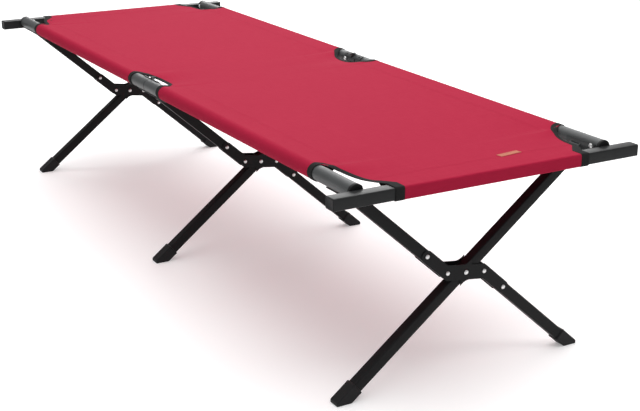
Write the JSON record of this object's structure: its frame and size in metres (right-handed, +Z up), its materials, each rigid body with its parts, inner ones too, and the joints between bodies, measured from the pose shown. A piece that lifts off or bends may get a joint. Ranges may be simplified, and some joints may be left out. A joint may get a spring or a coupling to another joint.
{
  "type": "folding cot",
  "caption": "Folding camp cot with crossed leg frames, hinged side rails, spreader bars at the ends and a stretched crimson canvas.",
  "frame": {"origin": "on the floor, under the middle of the cot", "axes": "+X from the head end to the foot end, +Y across to the right side, +Z up"},
  "size_m": [2.1034, 0.768, 0.5099],
  "materials": {
    "rail_enamel": "dark grey powder coat, satin",
    "black_enamel": "black powder coat, satin",
    "black_plastic": "moulded, matt",
    "bright_steel": "zinc plated",
    "crimson_cloth": "coated woven polyester, matt"
  },
  "bodies": {
    "leg_a_mid": {"leg_upper_mid": "black_enamel", "leg_lower_mid": "black_enamel", "joint_plate_front_mid": "black_enamel", "joint_plate_rear_mid": "black_enamel", "centre_rivet_mid": "bright_steel", "foot_right_mid": "black_plastic"},
    "leg_b_mid": {"leg_long_mid": "black_enamel", "foot_left_mid": "black_plastic"},
    "leg_a_head": {"leg_upper_head": "black_enamel", "leg_lower_head": "black_enamel", "joint_plate_front_head": "black_enamel", "joint_plate_rear_head": "black_enamel", "centre_rivet_head": "bright_steel", "foot_right_head": "black_plastic"},
    "leg_b_head": {"leg_long_head": "black_enamel", "foot_left_head": "black_plastic"},
    "leg_a_foot": {"leg_upper_foot": "black_enamel", "leg_lower_foot": "black_enamel", "joint_plate_front_foot": "black_enamel", "joint_plate_rear_foot": "black_enamel", "centre_rivet_foot": "bright_steel", "foot_right_foot": "black_plastic"},
    "leg_b_foot": {"leg_long_foot": "black_enamel", "foot_left_foot": "black_plastic"},
    "frame_left_head": {"rail_left_head": "rail_enamel", "rail_plug_left_head": "black_plastic", "hinge_leaf_left_head": "black_enamel", "leg_bracket_left_head": "black_enamel", "bracket_bolt_left_head": "bright_steel", "leg_pivot_pin_left_head": "black_enamel", "leg_bracket_left_mid": "black_enamel", "bracket_bolt_left_mid": "bright_steel", "leg_pivot_pin_left_mid": "black_enamel", "hinge_pin_left": "bright_steel", "canvas_head": "crimson_cloth"},
    "frame_left_foot": {"rail_left_foot": "rail_enamel", "rail_plug_left_foot": "black_plastic", "hinge_leaf_left_foot": "black_enamel", "leg_bracket_left_foot": "black_enamel", "bracket_bolt_left_foot": "bright_steel", "leg_pivot_pin_left_foot": "black_enamel", "canvas_foot": "crimson_cloth"},
    "frame_right_head": {"rail_right_head": "rail_enamel", "rail_plug_right_head": "black_plastic", "hinge_leaf_right_head": "black_enamel", "leg_bracket_right_head": "black_enamel", "bracket_bolt_right_head": "bright_steel", "leg_pivot_pin_right_head": "black_enamel", "leg_bracket_right_mid": "black_enamel", "bracket_bolt_right_mid": "bright_steel", "leg_pivot_pin_right_mid": "black_enamel", "hinge_pin_right": "bright_steel"},
    "frame_right_foot": {"rail_right_foot": "rail_enamel", "rail_plug_right_foot": "black_plastic", "hinge_leaf_right_foot": "black_enamel", "leg_bracket_right_foot": "black_enamel", "bracket_bolt_right_foot": "bright_steel", "leg_pivot_pin_right_foot": "black_enamel"},
    "bar_head": {"spreader_bar_head": "rail_enamel"},
    "bar_foot": {"spreader_bar_foot": "rail_enamel"}
  },
  "joints": [
    {"name": "side_close", "type": "hinge", "parent": "leg_a_mid", "child": "frame_left_head", "pos_m": [0, -0.276, 0.453], "axis": [1, 0, 0], "range_deg": [0, 49], "deforming": ["canvas_head", "canvas_foot"]},
    {"name": "cross_mid", "type": "hinge", "parent": "leg_a_mid", "child": "leg_b_mid", "pos_m": [0, 0, 0.2405], "axis": [1, 0, 0], "range_deg": [0, 98]},
    {"name": "top_right_mid", "type": "hinge", "parent": "leg_b_mid", "child": "frame_right_head", "pos_m": [0, 0.276, 0.453], "axis": [-1, 0, 0], "range_deg": [0, 49]},
    {"name": "half_fold", "type": "hinge", "parent": "frame_left_head", "child": "frame_left_foot", "pos_m": [0, -0.30315, 0.5065], "axis": [0, -1, 0], "range_deg": [0, 180]},
    {"name": "half_fold_right", "type": "hinge", "parent": "frame_right_head", "child": "frame_right_foot", "pos_m": [0, 0.30315, 0.5065], "axis": [0, -1, 0], "range_deg": [0, 180]},
    {"name": "top_left_head", "type": "hinge", "parent": "frame_left_head", "child": "leg_a_head", "pos_m": [-0.948, -0.276, 0.453], "axis": [-1, 0, 0], "range_deg": [0, 49]},
    {"name": "cross_head", "type": "hinge", "parent": "leg_a_head", "child": "leg_b_head", "pos_m": [-0.948, 0, 0.2405], "axis": [1, 0, 0], "range_deg": [0, 98]},
    {"name": "bar_off_head", "type": "slide", "parent": "frame_left_head", "child": "bar_head", "axis": [-1, 0, 0], "range_m": [0, 0.25]},
    {"name": "top_left_foot", "type": "hinge", "parent": "frame_left_foot", "child": "leg_a_foot", "pos_m": [0.948, -0.276, 0.453], "axis": [-1, 0, 0], "range_deg": [0, 49]},
    {"name": "cross_foot", "type": "hinge", "parent": "leg_a_foot", "child": "leg_b_foot", "pos_m": [0.948, 0, 0.2405], "axis": [1, 0, 0], "range_deg": [0, 98]},
    {"name": "bar_off_foot", "type": "slide", "parent": "frame_left_foot", "child": "bar_foot", "axis": [1, 0, 0], "range_m": [0, 0.25]}
  ],
  "couplings": [
    {"joint": "cross_mid", "follows": "side_close", "ratio": 2},
    {"joint": "top_right_mid", "follows": "side_close", "ratio": 1},
    {"joint": "half_fold_right", "follows": "half_fold", "ratio": 1},
    {"joint": "top_left_head", "follows": "side_close", "ratio": 1},
    {"joint": "cross_head", "follows": "side_close", "ratio": 2},
    {"joint": "bar_off_head", "follows": "side_close", "m_per_rad": 0.292},
    {"joint": "top_left_foot", "follows": "side_close", "ratio": 1},
    {"joint": "cross_foot", "follows": "side_close", "ratio": 2},
    {"joint": "bar_off_foot", "follows": "side_close", "m_per_rad": 0.292}
  ]
}
